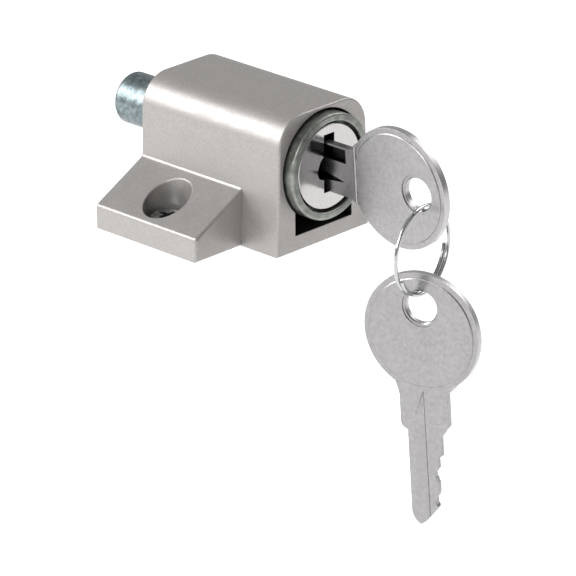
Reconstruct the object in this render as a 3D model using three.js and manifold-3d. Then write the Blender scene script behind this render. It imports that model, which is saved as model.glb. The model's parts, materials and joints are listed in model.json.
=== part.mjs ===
// A keyed push lock for a sliding sash: a die-cast housing with two screw feet holds a round
// barrel that slides in and out with its bolt, and a key turns a plug that works a locking dog.
// Millimetres, +X across, +Y from the key side to the bolt side, +Z up off the sash.
// The origin is on the mounting face, midway between the two screws.
import * as THREE from 'three';
import { mergeVertices } from 'three/addons/utils/BufferGeometryUtils.js';
import Module from 'manifold-3d';

const wasm = await Module();
wasm.setup();

// ---- driving dimensions; along Y they are measured inwards from the housing's front face ----

const HOUSING = { width: 26, length: 38.5, height: 28.5, cornerRadius: 6.7, draft: 0.028, edge: 0.5 };
const REAR_WALL = 3;
const FOOT = { reach: 12.76, length: 28.5, outerHeight: 5.1, innerHeight: 11.9, overlap: 4 };
const FOOT_HOLE = { radius: 4.875, inset: 6.5, seatZ: 2.3, throughRadius: 2.3 };
const FRONT_BORE = { radius: 11.4, z: 16.45, slotHalfWidth: 8, floorZ: 3.4 };
const BARREL = { radius: 11, z: 16.35, front: -2.3, rear: 26.45, rimWidth: 1.65, rimRound: 0.8 };
const WAFER_GROOVE = { start: 3.5, halfHeight: 7.3 };
const KEEL = { halfWidth: 7.7, front: 7, bottomZ: 3.75 };
const SLIDE_TRAVEL = 13.5;
const FACE_DISC = { radius: 8.85, front: -1.7, rear: 0.2, chamfer: 0.3, clearance: 0.25 };
const PLUG = { radius: 6.4, bore: 6.55, rear: 22.6, shoulder: 21 };
const PLUG_CLIP = { start: 21.2, thickness: 0.5, grooveRadius: 5.6, outerRadius: 7.4, gapHalf: 3.2 };
const CHAMBER_RADIUS = 7.9;
const CAM = { start: 22.75, thickness: 1.25, web: 0.5, radius: 5.5, tailHalf: 2 };
const CAM_PIN = { throw: 2.2, radius: 0.8, end: 26.1 };
const DOG = { start: 24.25, thickness: 1.9, legHalf: 3, legBottom: -12.3 };
const DOG_HEAD = { half: 4.2, top: 5, bottom: -4 };
const DOG_SPRING = { wire: 0.35, meanRadius: 0.8, turns: 3 };
const DOG_SLOT = { left: -1.05, right: 3.25, below: 1.0, above: 1.5 };
const DOG_POCKET = { halfWidth: 3.3, depth: 2.1 };
const CARRIER = { front: 26.6, rear: 30 };
const CARRIER_SCREW = { x: 9.2, start: 22.3, radius: 0.9, headRadius: 1.4, headDepth: 1, sunk: 0.1 };
const BOLT = { radius: 5.4, z: 17.15, tip: 54, flangeRadius: 6.4, flange: 0.9, tipRound: 0.8 };
const RETURN_SPRING = { wire: 0.8, meanRadius: 6.6, turns: 4.5 };
const STOP_PIN = { x: 5.5, y: 10, radius: 1.2, bottomZ: 0.2, topZ: 6, chamfer: 0.4 };
const WAFER = { count: 5, first: 5, pitch: 2.62, thickness: 0.8, halfWidth: 2.6, halfHeight: 5.75 };
const WAFER_TRAVEL = 0.9;
const WAFER_WINDOW = { halfWidth: 1.25, bottom: -4.25, top: 5.1 };
const WAFER_EAR = { right: 4.4, bottom: -1.3, top: -0.3 };
const WAFER_SPRING = { x: 3.75, holeRadius: 0.85, top: 4.2, wire: 0.22, meanRadius: 0.5, turns: 4 };
const KEY = { bowRadius: 12.57, thickness: 1.5, holeRadius: 3.33, hole: [-5.4, 0.28] };
const KEY_PLATEAU = { radius: 11.4, rise: 0.2, end: 11.3, holeMargin: 0.75 };
const KEY_IN_LOCK = { bow: [0, -20.65, 0.42], leanDeg: 3.8 };
const KEYWAY = { halfWidth: 1.2, halfHeight: 4.15, end: 22 };
const KEYWAY_MOUTH = { left: -1.55, right: 1.35, bottom: -5.25, top: 6.85, end: 1.7 };
const SPLIT_RING = { meanRadius: 8.93, wire: 0.82, pitch: 0.934, turns: 1.4, startDeg: -10 };
const RING_HEADING_DEG = 9.2;
const SPLIT_RING_CENTRE = [0.06, -26.48, 5.35];
const SPARE_KEY = { bow: [-0.7, -27.39, -11.42], headingDeg: 285.8, leanDeg: 3.2 };
const SCREW = { headRadius: 3.95, headHeight: 2.3, crown: 1.1 };
const SHANK = { radius: 2, end: -2.4, pointRadius: 1.4 };
const CROSS_RECESS = { depth: 1.5, reach: 2.1, half: 0.45 };
const GAP = 0.3;
const RUNNING_GAP = 0.15;

const ROUND = 48;
const SMALL_ROUND = 24;
const ARC_STEPS = 5;
const BOW_STEPS = 20;
const MERGE_DISTANCE = 1e-4;

// ---- solids and how they are cut ----

// A closed geometry as a solid, with its triangles turned to face out.
function solid(geometry) {
  const bare = geometry.clone();
  bare.deleteAttribute('normal');
  bare.deleteAttribute('uv');
  const merged = mergeVertices(bare, MERGE_DISTANCE);
  const positions = merged.attributes.position.array;
  const triangles = fullTriangles(merged.index.array);
  if (signedVolume(positions, triangles) < 0) {
    triangles.reverse();
  }
  const mesh = { numProp: 3, vertProperties: positions, triVerts: new Uint32Array(triangles) };
  return new wasm.Manifold(new wasm.Mesh(mesh));
}

function fullTriangles(index) {
  const kept = [];
  for (let i = 0; i < index.length; i += 3) {
    const [a, b, c] = index.slice(i, i + 3);
    if (a !== b && b !== c && a !== c) {
      kept.push(a, b, c);
    }
  }
  return kept;
}

function signedVolume(positions, triangles) {
  const corner = (i) => new THREE.Vector3().fromArray(positions, 3 * i);
  let volume = 0;
  for (let i = 0; i < triangles.length; i += 3) {
    const [a, b, c] = triangles.slice(i, i + 3).map(corner);
    volume += a.dot(b.cross(c));
  }
  return volume;
}

const join = (first, ...others) => others.reduce((all, other) => all.add(other), first);
const cut = (body, ...tools) => tools.reduce((left, tool) => left.subtract(tool), body);

// A box between two corners.
function block([x0, y0, z0], [x1, y1, z1]) {
  const box = new THREE.BoxGeometry(x1 - x0, y1 - y0, z1 - z0);
  return solid(box.translate((x0 + x1) / 2, (y0 + y1) / 2, (z0 + z1) / 2));
}

// A turned body about the Y axis through (x, z), from [radius, y] points.
function turnedY(profile, x = 0, z = 0, sides = ROUND) {
  const points = profile.map(([radius, y]) => new THREE.Vector2(radius, y));
  return solid(new THREE.LatheGeometry(points, sides).translate(x, 0, z));
}

// A turned body about the Z axis through (x, y), from [radius, z] points.
function turnedZ(profile, x = 0, y = 0, sides = SMALL_ROUND) {
  const points = profile.map(([radius, z]) => new THREE.Vector2(radius, z));
  return solid(new THREE.LatheGeometry(points, sides).rotateX(Math.PI / 2).translate(x, y, 0));
}

const rod = (radius, start, end) => [[0, start], [radius, start], [radius, end], [0, end]];

// An outline in the X-Z plane drawn out from y0 to y1, with its end edges chamfered.
function sectionAlongY(shape, y0, y1, edge = 0) {
  const options = { depth: y1 - y0 - 2 * edge, curveSegments: ARC_STEPS, bevelEnabled: edge > 0 };
  Object.assign(options, { bevelSize: edge, bevelThickness: edge, bevelOffset: -edge, bevelSegments: 1 });
  return solid(new THREE.ExtrudeGeometry(shape, options).rotateX(Math.PI / 2).translate(0, y1 - edge, 0));
}

function polygon(points) {
  return new THREE.Shape(points.map(([x, y]) => new THREE.Vector2(x, y)));
}

// A wire swept along a helix about the local Z axis, as one closed body.
function coil({ wire, meanRadius, turns, length, start = 0, sides = 6, stepsPerTurn = 12 }) {
  class Helix extends THREE.Curve {
    getPoint(t, target = new THREE.Vector3()) {
      const angle = start + 2 * Math.PI * turns * t;
      return target.set(meanRadius * Math.cos(angle), meanRadius * Math.sin(angle), length * (t - 0.5));
    }
  }
  const section = new THREE.Shape().absarc(0, 0, wire / 2, 0, 2 * Math.PI);
  const steps = Math.ceil(Math.abs(turns) * stepsPerTurn);
  const options = { extrudePath: new Helix(), steps, curveSegments: sides / 2, bevelEnabled: false };
  return solid(new THREE.ExtrudeGeometry(section, options));
}

// ---- finishes ----

const FINISHES = {
  castSilver: { color: 0xb9b4ae, roughness: 0.42, metalness: 0.55 },
  roughZinc: { color: 0x9da096, roughness: 0.5, metalness: 0.8 },
  satinNickel: { color: 0xb4b0ae, roughness: 0.32, metalness: 0.9 },
  zincPlate: { color: 0xa9b4c0, roughness: 0.34, metalness: 0.9 },
  springSteel: { color: 0x8d8f92, roughness: 0.35, metalness: 0.95 },
  brass: { color: 0xb8974f, roughness: 0.35, metalness: 0.9 },
};

function piece(name, body, finish) {
  const mesh = body.getMesh();
  const geometry = new THREE.BufferGeometry();
  geometry.setAttribute('position', new THREE.BufferAttribute(mesh.vertProperties, 3));
  geometry.setIndex(new THREE.BufferAttribute(mesh.triVerts, 1));
  geometry.computeVertexNormals();
  const part = new THREE.Mesh(geometry, new THREE.MeshStandardMaterial(FINISHES[finish]));
  part.name = name;
  return part;
}

// ---- housing and its fixings ----

// The arched section: sides that lean in by the draft, and two rounded upper corners.
function housingSection() {
  const { width, height, cornerRadius, draft } = HOUSING;
  const half = width / 2;
  const shoulderZ = height - cornerRadius;
  const shoulderX = half - draft * shoulderZ;
  const shape = new THREE.Shape();
  shape.moveTo(-half, 0);
  shape.lineTo(half, 0);
  shape.lineTo(shoulderX, shoulderZ);
  shape.absarc(shoulderX - cornerRadius, shoulderZ, cornerRadius, 0, Math.PI / 2);
  shape.absarc(cornerRadius - shoulderX, shoulderZ, cornerRadius, Math.PI / 2, Math.PI);
  return shape;
}

const footHoleX = (side) => side * (HOUSING.width / 2 + FOOT_HOLE.inset);
const FOOT_HOLE_Y = HOUSING.length - FOOT.length / 2;

// One wedge-shaped foot, running into the housing's side.
function foot(side) {
  const outer = HOUSING.width / 2 + FOOT.reach;
  const inner = HOUSING.width / 2 - FOOT.overlap;
  const slope = (FOOT.innerHeight - FOOT.outerHeight) / FOOT.reach;
  const innerHeight = FOOT.innerHeight + slope * FOOT.overlap;
  const outline = [[inner, 0], [outer, 0], [outer, FOOT.outerHeight], [inner, innerHeight]];
  const points = outline.map(([x, z]) => [side * x, z]);
  return sectionAlongY(polygon(points), HOUSING.length - FOOT.length, HOUSING.length, 0);
}

function footHole(side) {
  const clearTop = FOOT.innerHeight + 2;
  const steps = [
    [0, -1],
    [FOOT_HOLE.throughRadius, -1],
    [FOOT_HOLE.throughRadius, FOOT_HOLE.seatZ],
    [FOOT_HOLE.radius, FOOT_HOLE.seatZ],
    [FOOT_HOLE.radius, clearTop],
    [0, clearTop],
  ];
  return turnedZ(steps, footHoleX(side), FOOT_HOLE_Y);
}

function housing() {
  const { radius, z, slotHalfWidth, floorZ } = FRONT_BORE;
  const inner = HOUSING.length - REAR_WALL;
  const pocketFloor = floorZ - DOG_POCKET.depth;
  const dogRear = DOG.start + DOG.thickness;
  return cut(
    join(sectionAlongY(housingSection(), 0, HOUSING.length, HOUSING.edge), foot(-1), foot(1)),
    turnedY(rod(radius, -1, inner), 0, z),
    block([-slotHalfWidth, -1, floorZ], [slotHalfWidth, inner, z]),
    turnedY(rod(BOLT.radius + GAP, inner - 1, HOUSING.length + 1), 0, BOLT.z),
    block(
      [-DOG_POCKET.halfWidth, DOG.start - GAP, pocketFloor],
      [DOG_POCKET.halfWidth, dogRear + GAP, floorZ + 1],
    ),
    turnedZ(rod(STOP_PIN.radius + RUNNING_GAP, -1, floorZ + 1), STOP_PIN.x, STOP_PIN.y),
    footHole(-1),
    footHole(1),
  );
}

function stopPin() {
  const { x, y, radius, bottomZ, topZ, chamfer } = STOP_PIN;
  const profile = [
    [0, bottomZ],
    [radius, bottomZ],
    [radius, topZ - chamfer],
    [radius - chamfer, topZ],
    [0, topZ],
  ];
  return turnedZ(profile, x, y);
}

// A pan-head screw with a cross recess, seated in a foot.
function mountingScrew() {
  const { headRadius, headHeight, crown } = SCREW;
  const { depth, reach, half } = CROSS_RECESS;
  const seat = FOOT_HOLE.seatZ + RUNNING_GAP;
  const top = seat + headHeight;
  const profile = [
    [0, SHANK.end],
    [SHANK.pointRadius, SHANK.end],
    [SHANK.radius, SHANK.end + SHANK.radius - SHANK.pointRadius],
    [SHANK.radius, seat],
    [headRadius, seat],
    [headRadius, seat + headHeight / 2],
    [headRadius - crown, top],
    [0, top],
  ];
  return cut(
    turnedZ(profile),
    block([-reach, -half, top - depth], [reach, half, top + 1]),
    block([-half, -reach, top - depth], [half, reach, top + 1]),
  );
}

// ---- the barrel that slides, in its own frame on the barrel's axis ----

const keelBottom = KEEL.bottomZ - BARREL.z;

function keel(front, rear) {
  return block([-KEEL.halfWidth, front, keelBottom], [KEEL.halfWidth, rear, 0]);
}

function barrelOuter() {
  const { radius, front, rear, rimRound } = BARREL;
  const profile = [
    [0, front],
    [radius - rimRound, front],
    [radius - 0.3 * rimRound, front + 0.3 * rimRound],
    [radius, front + rimRound],
    [radius, rear],
    [0, rear],
  ];
  return join(turnedY(profile), keel(KEEL.front, rear));
}

function besideBolt(profile, side) {
  return turnedY(profile, side * CARRIER_SCREW.x, 0, SMALL_ROUND);
}

function carrierScrewHole(side) {
  const { radius, start } = CARRIER_SCREW;
  return besideBolt(rod(radius + RUNNING_GAP, start - GAP, CARRIER.rear + 1), side);
}

function barrel() {
  const faceRecess = BARREL.radius - BARREL.rimWidth;
  const grooveHalf = WAFER.halfWidth + GAP;
  const { start: grooveStart, halfHeight } = WAFER_GROOVE;
  const waferEnd = WAFER.first + WAFER.pitch * WAFER.count;
  const stop = STOP_PIN.radius + GAP;
  const stopTop = STOP_PIN.topZ + GAP - BARREL.z;
  return cut(
    barrelOuter(),
    turnedY(rod(faceRecess, BARREL.front - 1, FACE_DISC.rear + FACE_DISC.clearance)),
    turnedY(rod(PLUG.bore, 0, BARREL.rear)),
    block([-grooveHalf, grooveStart, -halfHeight], [grooveHalf, waferEnd, halfHeight]),
    turnedY(rod(CHAMBER_RADIUS, PLUG.shoulder, BARREL.rear + 1)),
    block(
      [-DOG.legHalf - RUNNING_GAP, DOG.start - RUNNING_GAP, keelBottom - 1],
      [DOG.legHalf + RUNNING_GAP, BARREL.rear + 1, 0],
    ),
    block(
      [STOP_PIN.x - stop, STOP_PIN.y - stop, keelBottom - 1],
      [STOP_PIN.x + stop, STOP_PIN.y + SLIDE_TRAVEL + stop, stopTop],
    ),
    carrierScrewHole(-1),
    carrierScrewHole(1),
  );
}

// The block that closes the barrel's rear and holds the bolt by its flange.
function boltCarrier() {
  const { front, rear } = CARRIER;
  const boltZ = BOLT.z - BARREL.z;
  const headSink = rod(CARRIER_SCREW.headRadius + RUNNING_GAP, rear - CARRIER_SCREW.headDepth, rear + 1);
  const flangeSink = rod(BOLT.flangeRadius + RUNNING_GAP, front - 1, front + BOLT.flange + GAP);
  return cut(
    join(turnedY(rod(BARREL.radius, front, rear)), keel(front, rear)),
    turnedY(rod(BOLT.radius + RUNNING_GAP, front - 1, rear + 1), 0, boltZ),
    turnedY(flangeSink, 0, boltZ),
    carrierScrewHole(-1),
    carrierScrewHole(1),
    besideBolt(headSink, -1),
    besideBolt(headSink, 1),
  );
}

function carrierScrew() {
  const { start, radius, headRadius, headDepth, sunk } = CARRIER_SCREW;
  const headRear = CARRIER.rear - sunk;
  const headFront = CARRIER.rear - headDepth + RUNNING_GAP;
  const profile = [
    [0, start],
    [radius, start],
    [radius, headFront],
    [headRadius, headFront],
    [headRadius, headRear],
    [0, headRear],
  ];
  return turnedY(profile, 0, 0, SMALL_ROUND);
}

function bolt() {
  const { radius, tip, flangeRadius, flange, tipRound } = BOLT;
  const front = CARRIER.front + RUNNING_GAP;
  const rounding = [0, 0.5, 1].map((t) => {
    const angle = (t * Math.PI) / 2;
    return [radius - tipRound * (1 - Math.cos(angle)), tip - tipRound * (1 - Math.sin(angle))];
  });
  const profile = [
    [0, front],
    [flangeRadius, front],
    [flangeRadius, front + flange],
    [radius, front + flange],
    ...rounding,
    [0, tip],
  ];
  return turnedY(profile);
}

function returnSpring() {
  const free = HOUSING.length - REAR_WALL - CARRIER.rear;
  const length = free - RETURN_SPRING.wire - GAP;
  return coil({ ...RETURN_SPRING, length, stepsPerTurn: 16 });
}

// ---- the plug, its wafers and what it drives ----

function plugBody() {
  const { radius: disc, front, rear, chamfer } = FACE_DISC;
  const clip = PLUG_CLIP;
  const profile = [
    [0, front],
    [disc - chamfer, front],
    [disc, front + chamfer],
    [disc, rear],
    [PLUG.radius, rear],
    [PLUG.radius, clip.start - RUNNING_GAP],
    [clip.grooveRadius, clip.start - RUNNING_GAP],
    [clip.grooveRadius, clip.start + clip.thickness + RUNNING_GAP],
    [PLUG.radius, clip.start + clip.thickness + RUNNING_GAP],
    [PLUG.radius, PLUG.rear],
    [0, PLUG.rear],
  ];
  const tail = CAM.tailHalf;
  const tailEnd = CAM.start + CAM.thickness - CAM.web - RUNNING_GAP;
  return join(turnedY(profile), block([-tail, PLUG.rear - 1, -tail], [tail, tailEnd, tail]));
}

// The slot for one wafer with its ear, and the round hole for its spring.
function waferSlot(y) {
  const half = WAFER.thickness / 2 + RUNNING_GAP;
  const side = WAFER.halfWidth + RUNNING_GAP;
  const earFloor = WAFER_EAR.bottom - WAFER_TRAVEL - RUNNING_GAP;
  const springTop = WAFER_SPRING.top + GAP;
  return join(
    block([-side, y - half, -PLUG.radius - 1], [side, y + half, PLUG.radius + 1]),
    block([0, y - half, earFloor], [WAFER_EAR.right + RUNNING_GAP, y + half, springTop - 1]),
    turnedZ(rod(WAFER_SPRING.holeRadius, WAFER_EAR.bottom, springTop), WAFER_SPRING.x, y, 12),
  );
}

const waferYs = Array.from({ length: WAFER.count }, (_, i) => WAFER.first + WAFER.pitch * i);

// The swelling on the left of the keyway's mouth, across and up from the plug's axis.
const MOUTH_SWELLING = [
  [-1.5, 2.4], [-1.6, -2.45], [-2.6, -2.05], [-3.2, -1.45], [-3.1, 0.25], [-2.4, 1.55],
];

function plug() {
  const { halfWidth, halfHeight, end } = KEYWAY;
  const mouth = KEYWAY_MOUTH;
  return cut(
    plugBody(),
    block([-halfWidth, FACE_DISC.front - 1, -halfHeight], [halfWidth, end, halfHeight]),
    block([mouth.left, FACE_DISC.front - 1, mouth.bottom], [mouth.right, mouth.end, mouth.top]),
    sectionAlongY(polygon(MOUTH_SWELLING), FACE_DISC.front - 1, mouth.end),
    ...waferYs.map(waferSlot),
  );
}

// The open spring clip in the plug's groove, behind the barrel's shoulder.
function plugClip() {
  const { start, thickness, grooveRadius, outerRadius, gapHalf } = PLUG_CLIP;
  return cut(
    turnedY(rod(outerRadius, start, start + thickness)),
    turnedY(rod(grooveRadius + RUNNING_GAP, start - 1, start + thickness + 1)),
    block([-gapHalf, start - 1, -outerRadius - 1], [gapHalf, start + thickness + 1, 0]),
  );
}

function cam() {
  const { start, thickness, web, radius, tailHalf } = CAM;
  const hole = tailHalf + RUNNING_GAP;
  const disc = cut(
    turnedY(rod(radius, start, start + thickness)),
    block([-hole, start - 1, -hole], [hole, start + thickness - web, hole]),
  );
  const pin = rod(CAM_PIN.radius, start + thickness - web / 2, CAM_PIN.end);
  return join(disc, turnedY(pin, 0, CAM_PIN.throw, SMALL_ROUND));
}

// The bar that the cam's pin lowers into the housing's floor; it is shown raised.
function lockingDog() {
  const { start, thickness, legHalf, legBottom } = DOG;
  const { half, top, bottom } = DOG_HEAD;
  const rear = start + thickness;
  const slotBottom = CAM_PIN.throw - DOG_SLOT.below;
  const slotTop = CAM_PIN.throw + DOG_SLOT.above;
  return cut(
    join(
      block([-half, start, bottom], [half, rear, top]),
      block([-legHalf, start, legBottom], [legHalf, rear, bottom + 1]),
    ),
    block([DOG_SLOT.left, start - 1, slotBottom], [DOG_SLOT.right, rear + 1, slotTop]),
  );
}

function dogSpring() {
  return coil({ ...DOG_SPRING, length: CHAMBER_RADIUS - DOG_HEAD.top - DOG_SPRING.wire - 2 * GAP });
}

function wafer() {
  const half = WAFER.thickness / 2;
  return cut(
    join(
      block([-WAFER.halfWidth, -half, -WAFER.halfHeight], [WAFER.halfWidth, half, WAFER.halfHeight]),
      block([0, -half, WAFER_EAR.bottom], [WAFER_EAR.right, half, WAFER_EAR.top]),
    ),
    block(
      [-WAFER_WINDOW.halfWidth, -1, WAFER_WINDOW.bottom],
      [WAFER_WINDOW.halfWidth, 1, WAFER_WINDOW.top],
    ),
  );
}

function waferSpring() {
  const { wire, meanRadius, turns, top } = WAFER_SPRING;
  return coil({ wire, meanRadius, turns, length: top - WAFER_EAR.top - wire - GAP, stepsPerTurn: 8 });
}

// ---- keys, drawn flat: local X towards the tip, local Y across, local Z through the thickness ----

const TOP_FLANK = [[12.6, 5.08], [11.88, 5.53], [11.1, 6.6]];
const LOWER_FLANK = [
  [11.75, -6.07], [12.35, -5.84], [13.6, -5.55], [19.4, -5.55], [20.2, -5.15], [21, -4.09],
];
const TIP = [
  [38.5, -4.09], [39.1, -3.87], [39.7, -3.64], [40.3, -3.24], [41.1, -2.2], [40.5, -1.24], [39.7, -0.5],
  [37.5, 1.42],
];
const BITTING = [
  [36.8, 1.9], [36.2, 1.5], [35, 1.43], [34.2, 2.1], [33.4, 2.3], [31.5, 2.28], [30.4, 1.47], [29.6, 1.47],
  [28.4, 2.42], [26.5, 2.35], [25.7, 3.26], [21.8, 3.26], [19.3, 5.08],
];
const TIP_CLEAR = 50;
const NEAR_GROOVE = {
  depth: 0.35,
  outline: [[12.4, -0.35], [15.5, -1.5], [19, -2.6], [TIP_CLEAR, -2.6], [TIP_CLEAR, 0.14], [12.5, -0.12]],
};
const FAR_GROOVE = { depth: 0.85, start: 13.7, lower: 1.65, upper: 4.6 };
const WEDGE_GROOVE = {
  depth: 0.35,
  outline: [[14.15, -2.45], [19, -3], [TIP_CLEAR, -3.3], [TIP_CLEAR, -1.47], [19, -1.47]],
};

// An outline drawn up from z0 to z1.
function plate(shape, z0, z1) {
  const options = { depth: z1 - z0, bevelEnabled: false, curveSegments: BOW_STEPS };
  return solid(new THREE.ExtrudeGeometry(shape, options).translate(0, 0, z0));
}

function keyOutline() {
  const angleOf = ([along, across]) => Math.atan2(across, along);
  const shape = new THREE.Shape();
  const start = angleOf(TOP_FLANK.at(-1)) + 0.05;
  const end = 2 * Math.PI + angleOf(LOWER_FLANK[0]) - 0.05;
  shape.absarc(0, 0, KEY.bowRadius, start, end);
  for (const [along, across] of [...LOWER_FLANK, ...TIP, ...BITTING, ...TOP_FLANK]) {
    shape.lineTo(along, across);
  }
  shape.closePath();
  return shape;
}

const disc = (radius, [x, y] = [0, 0]) => new THREE.Shape().absarc(x, y, radius, 0, 2 * Math.PI);

// The raised middle of the bow's two faces, which keeps clear of the hole's edge.
function plateau() {
  const { radius, rise, end, holeMargin } = KEY_PLATEAU;
  const top = KEY.thickness / 2 + rise;
  return cut(
    plate(disc(radius), -top, top),
    block([end, -radius, -top - 1], [radius + 1, radius, top + 1]),
    plate(disc(KEY.holeRadius + holeMargin, KEY.hole), -top - 1, top + 1),
  );
}

// The blank with a raised plateau on its bow and its milled grooves.
function keySolid() {
  const half = KEY.thickness / 2;
  const { start, lower, upper, depth } = FAR_GROOVE;
  return cut(
    join(plate(keyOutline(), -half, half), plateau()),
    plate(disc(KEY.holeRadius, KEY.hole), -half - 1, half + 1),
    plate(polygon(NEAR_GROOVE.outline), half - NEAR_GROOVE.depth, half + 1),
    plate(polygon(WEDGE_GROOVE.outline), -half - 1, WEDGE_GROOVE.depth - half),
    block([start, lower, -half - 1], [TIP_CLEAR, upper, depth - half]),
  );
}

function heading(degrees) {
  const angle = THREE.MathUtils.degToRad(degrees);
  return new THREE.Vector3(Math.cos(angle), Math.sin(angle), 0);
}

// Turns a mesh so that its local X and Y lie along two directions at right angles.
function lay(mesh, alongX, alongY, position) {
  const alongZ = new THREE.Vector3().crossVectors(alongX, alongY);
  mesh.quaternion.setFromRotationMatrix(new THREE.Matrix4().makeBasis(alongX, alongY, alongZ));
  mesh.position.fromArray(position);
  return mesh;
}

const UP = new THREE.Vector3(0, 0, 1);
const INWARDS = new THREE.Vector3(0, 1, 0);

// Two directions at right angles, turned by an angle in their own plane.
function turnedPair(first, second, degrees) {
  const angle = THREE.MathUtils.degToRad(degrees);
  const turn = (a, b, sign) => a.clone().multiplyScalar(Math.cos(angle))
    .addScaledVector(b, sign * Math.sin(angle));
  return [turn(first, second, 1), turn(second, first, -1)];
}

function keyInLock() {
  const lean = THREE.MathUtils.degToRad(KEY_IN_LOCK.leanDeg);
  const across = new THREE.Vector3(-Math.sin(lean), 0, Math.cos(lean));
  return lay(piece('key', keySolid(), 'satinNickel'), INWARDS, across, KEY_IN_LOCK.bow);
}

function spareKey() {
  const { bow, headingDeg, leanDeg } = SPARE_KEY;
  const [alongBlade, across] = turnedPair(UP.clone().negate(), heading(headingDeg), leanDeg);
  return lay(piece('spare_key', keySolid(), 'satinNickel'), alongBlade, across, bow);
}

// The ring's wire runs round from its inner end, beside the lock, to its outer end.
function splitRing() {
  const { meanRadius, wire, pitch, startDeg, turns } = SPLIT_RING;
  const start = THREE.MathUtils.degToRad(startDeg);
  const ring = coil({
    wire, meanRadius, start, turns: -turns, length: pitch * turns, sides: 8, stepsPerTurn: 32,
  });
  return lay(piece('split_ring', ring, 'satinNickel'), heading(RING_HEADING_DEG), UP, SPLIT_RING_CENTRE);
}

// ---- assembly ----

function placed(mesh, x, y, z) {
  mesh.position.set(x, y, z);
  return mesh;
}

function plugGroup() {
  const group = new THREE.Group();
  group.add(
    piece('plug', plug(), 'satinNickel'),
    piece('plug_clip', plugClip(), 'springSteel'),
    piece('cam', cam(), 'zincPlate'),
  );
  waferYs.forEach((y, i) => {
    group.add(placed(piece(`wafer_${i + 1}`, wafer(), 'brass'), 0, y, 0));
    const middle = (WAFER_SPRING.top + WAFER_EAR.top) / 2;
    const spring = piece(`wafer_spring_${i + 1}`, waferSpring(), 'springSteel');
    group.add(placed(spring, WAFER_SPRING.x, y, middle));
  });
  group.add(keyInLock());
  return group;
}

function barrelGroup() {
  const group = new THREE.Group();
  const boltZ = BOLT.z - BARREL.z;
  const dogSpringZ = (CHAMBER_RADIUS + DOG_HEAD.top) / 2;
  const springY = (CARRIER.rear + HOUSING.length - REAR_WALL) / 2;
  const spring = placed(piece('return_spring', returnSpring(), 'springSteel'), 0, springY, boltZ);
  spring.rotation.x = Math.PI / 2;
  group.add(
    piece('barrel', barrel(), 'roughZinc'),
    piece('bolt_carrier', boltCarrier(), 'roughZinc'),
    placed(piece('carrier_screw_left', carrierScrew(), 'zincPlate'), -CARRIER_SCREW.x, 0, 0),
    placed(piece('carrier_screw_right', carrierScrew(), 'zincPlate'), CARRIER_SCREW.x, 0, 0),
    placed(piece('bolt', bolt(), 'zincPlate'), 0, 0, boltZ),
    spring,
    piece('locking_dog', lockingDog(), 'zincPlate'),
    placed(piece('dog_spring', dogSpring(), 'springSteel'), 0, DOG.start + DOG.thickness / 2, dogSpringZ),
    plugGroup(),
  );
  group.position.z = BARREL.z;
  return group;
}

const lock = new THREE.Group();
lock.add(
  piece('housing', housing(), 'castSilver'),
  piece('stop_pin', stopPin(), 'zincPlate'),
  placed(piece('mounting_screw_left', mountingScrew(), 'zincPlate'), footHoleX(-1), FOOT_HOLE_Y, 0),
  placed(piece('mounting_screw_right', mountingScrew(), 'zincPlate'), footHoleX(1), FOOT_HOLE_Y, 0),
  barrelGroup(),
  splitRing(),
  spareKey(),
);
lock.position.y = -FOOT_HOLE_Y;

const part = new THREE.Group();
part.add(lock);

export default part;
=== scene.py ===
# The keyed push lock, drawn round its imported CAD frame. Lengths in the making functions are in
# millimetres: X across, Y inwards from the housing's front face, Z up from the sash.
import json
import math

import bmesh
import bpy
from mathutils import Matrix, Vector


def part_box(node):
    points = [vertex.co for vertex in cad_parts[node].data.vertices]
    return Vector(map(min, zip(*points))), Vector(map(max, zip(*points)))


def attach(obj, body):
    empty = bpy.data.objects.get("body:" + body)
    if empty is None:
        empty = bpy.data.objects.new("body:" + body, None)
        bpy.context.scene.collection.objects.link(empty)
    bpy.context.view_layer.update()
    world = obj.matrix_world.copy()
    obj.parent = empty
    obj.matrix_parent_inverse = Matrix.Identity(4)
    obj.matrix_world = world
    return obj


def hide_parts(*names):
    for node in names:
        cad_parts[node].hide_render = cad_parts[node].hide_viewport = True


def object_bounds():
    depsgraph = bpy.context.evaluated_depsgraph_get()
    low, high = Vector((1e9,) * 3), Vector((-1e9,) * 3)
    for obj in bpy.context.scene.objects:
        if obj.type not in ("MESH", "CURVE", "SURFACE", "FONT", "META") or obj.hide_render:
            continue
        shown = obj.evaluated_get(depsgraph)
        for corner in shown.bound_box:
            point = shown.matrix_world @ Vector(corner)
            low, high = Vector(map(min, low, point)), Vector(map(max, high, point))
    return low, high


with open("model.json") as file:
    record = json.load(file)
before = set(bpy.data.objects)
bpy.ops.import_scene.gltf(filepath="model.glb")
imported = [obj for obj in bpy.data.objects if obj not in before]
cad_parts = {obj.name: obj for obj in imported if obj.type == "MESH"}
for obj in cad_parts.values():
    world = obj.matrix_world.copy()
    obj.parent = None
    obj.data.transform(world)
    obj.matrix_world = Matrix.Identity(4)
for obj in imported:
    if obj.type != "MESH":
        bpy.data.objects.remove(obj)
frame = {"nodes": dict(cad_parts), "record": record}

cad_low, cad_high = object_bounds()
MM = 0.001
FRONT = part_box("housing")[0].y / MM


# ---- sizes: housing ----

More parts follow.
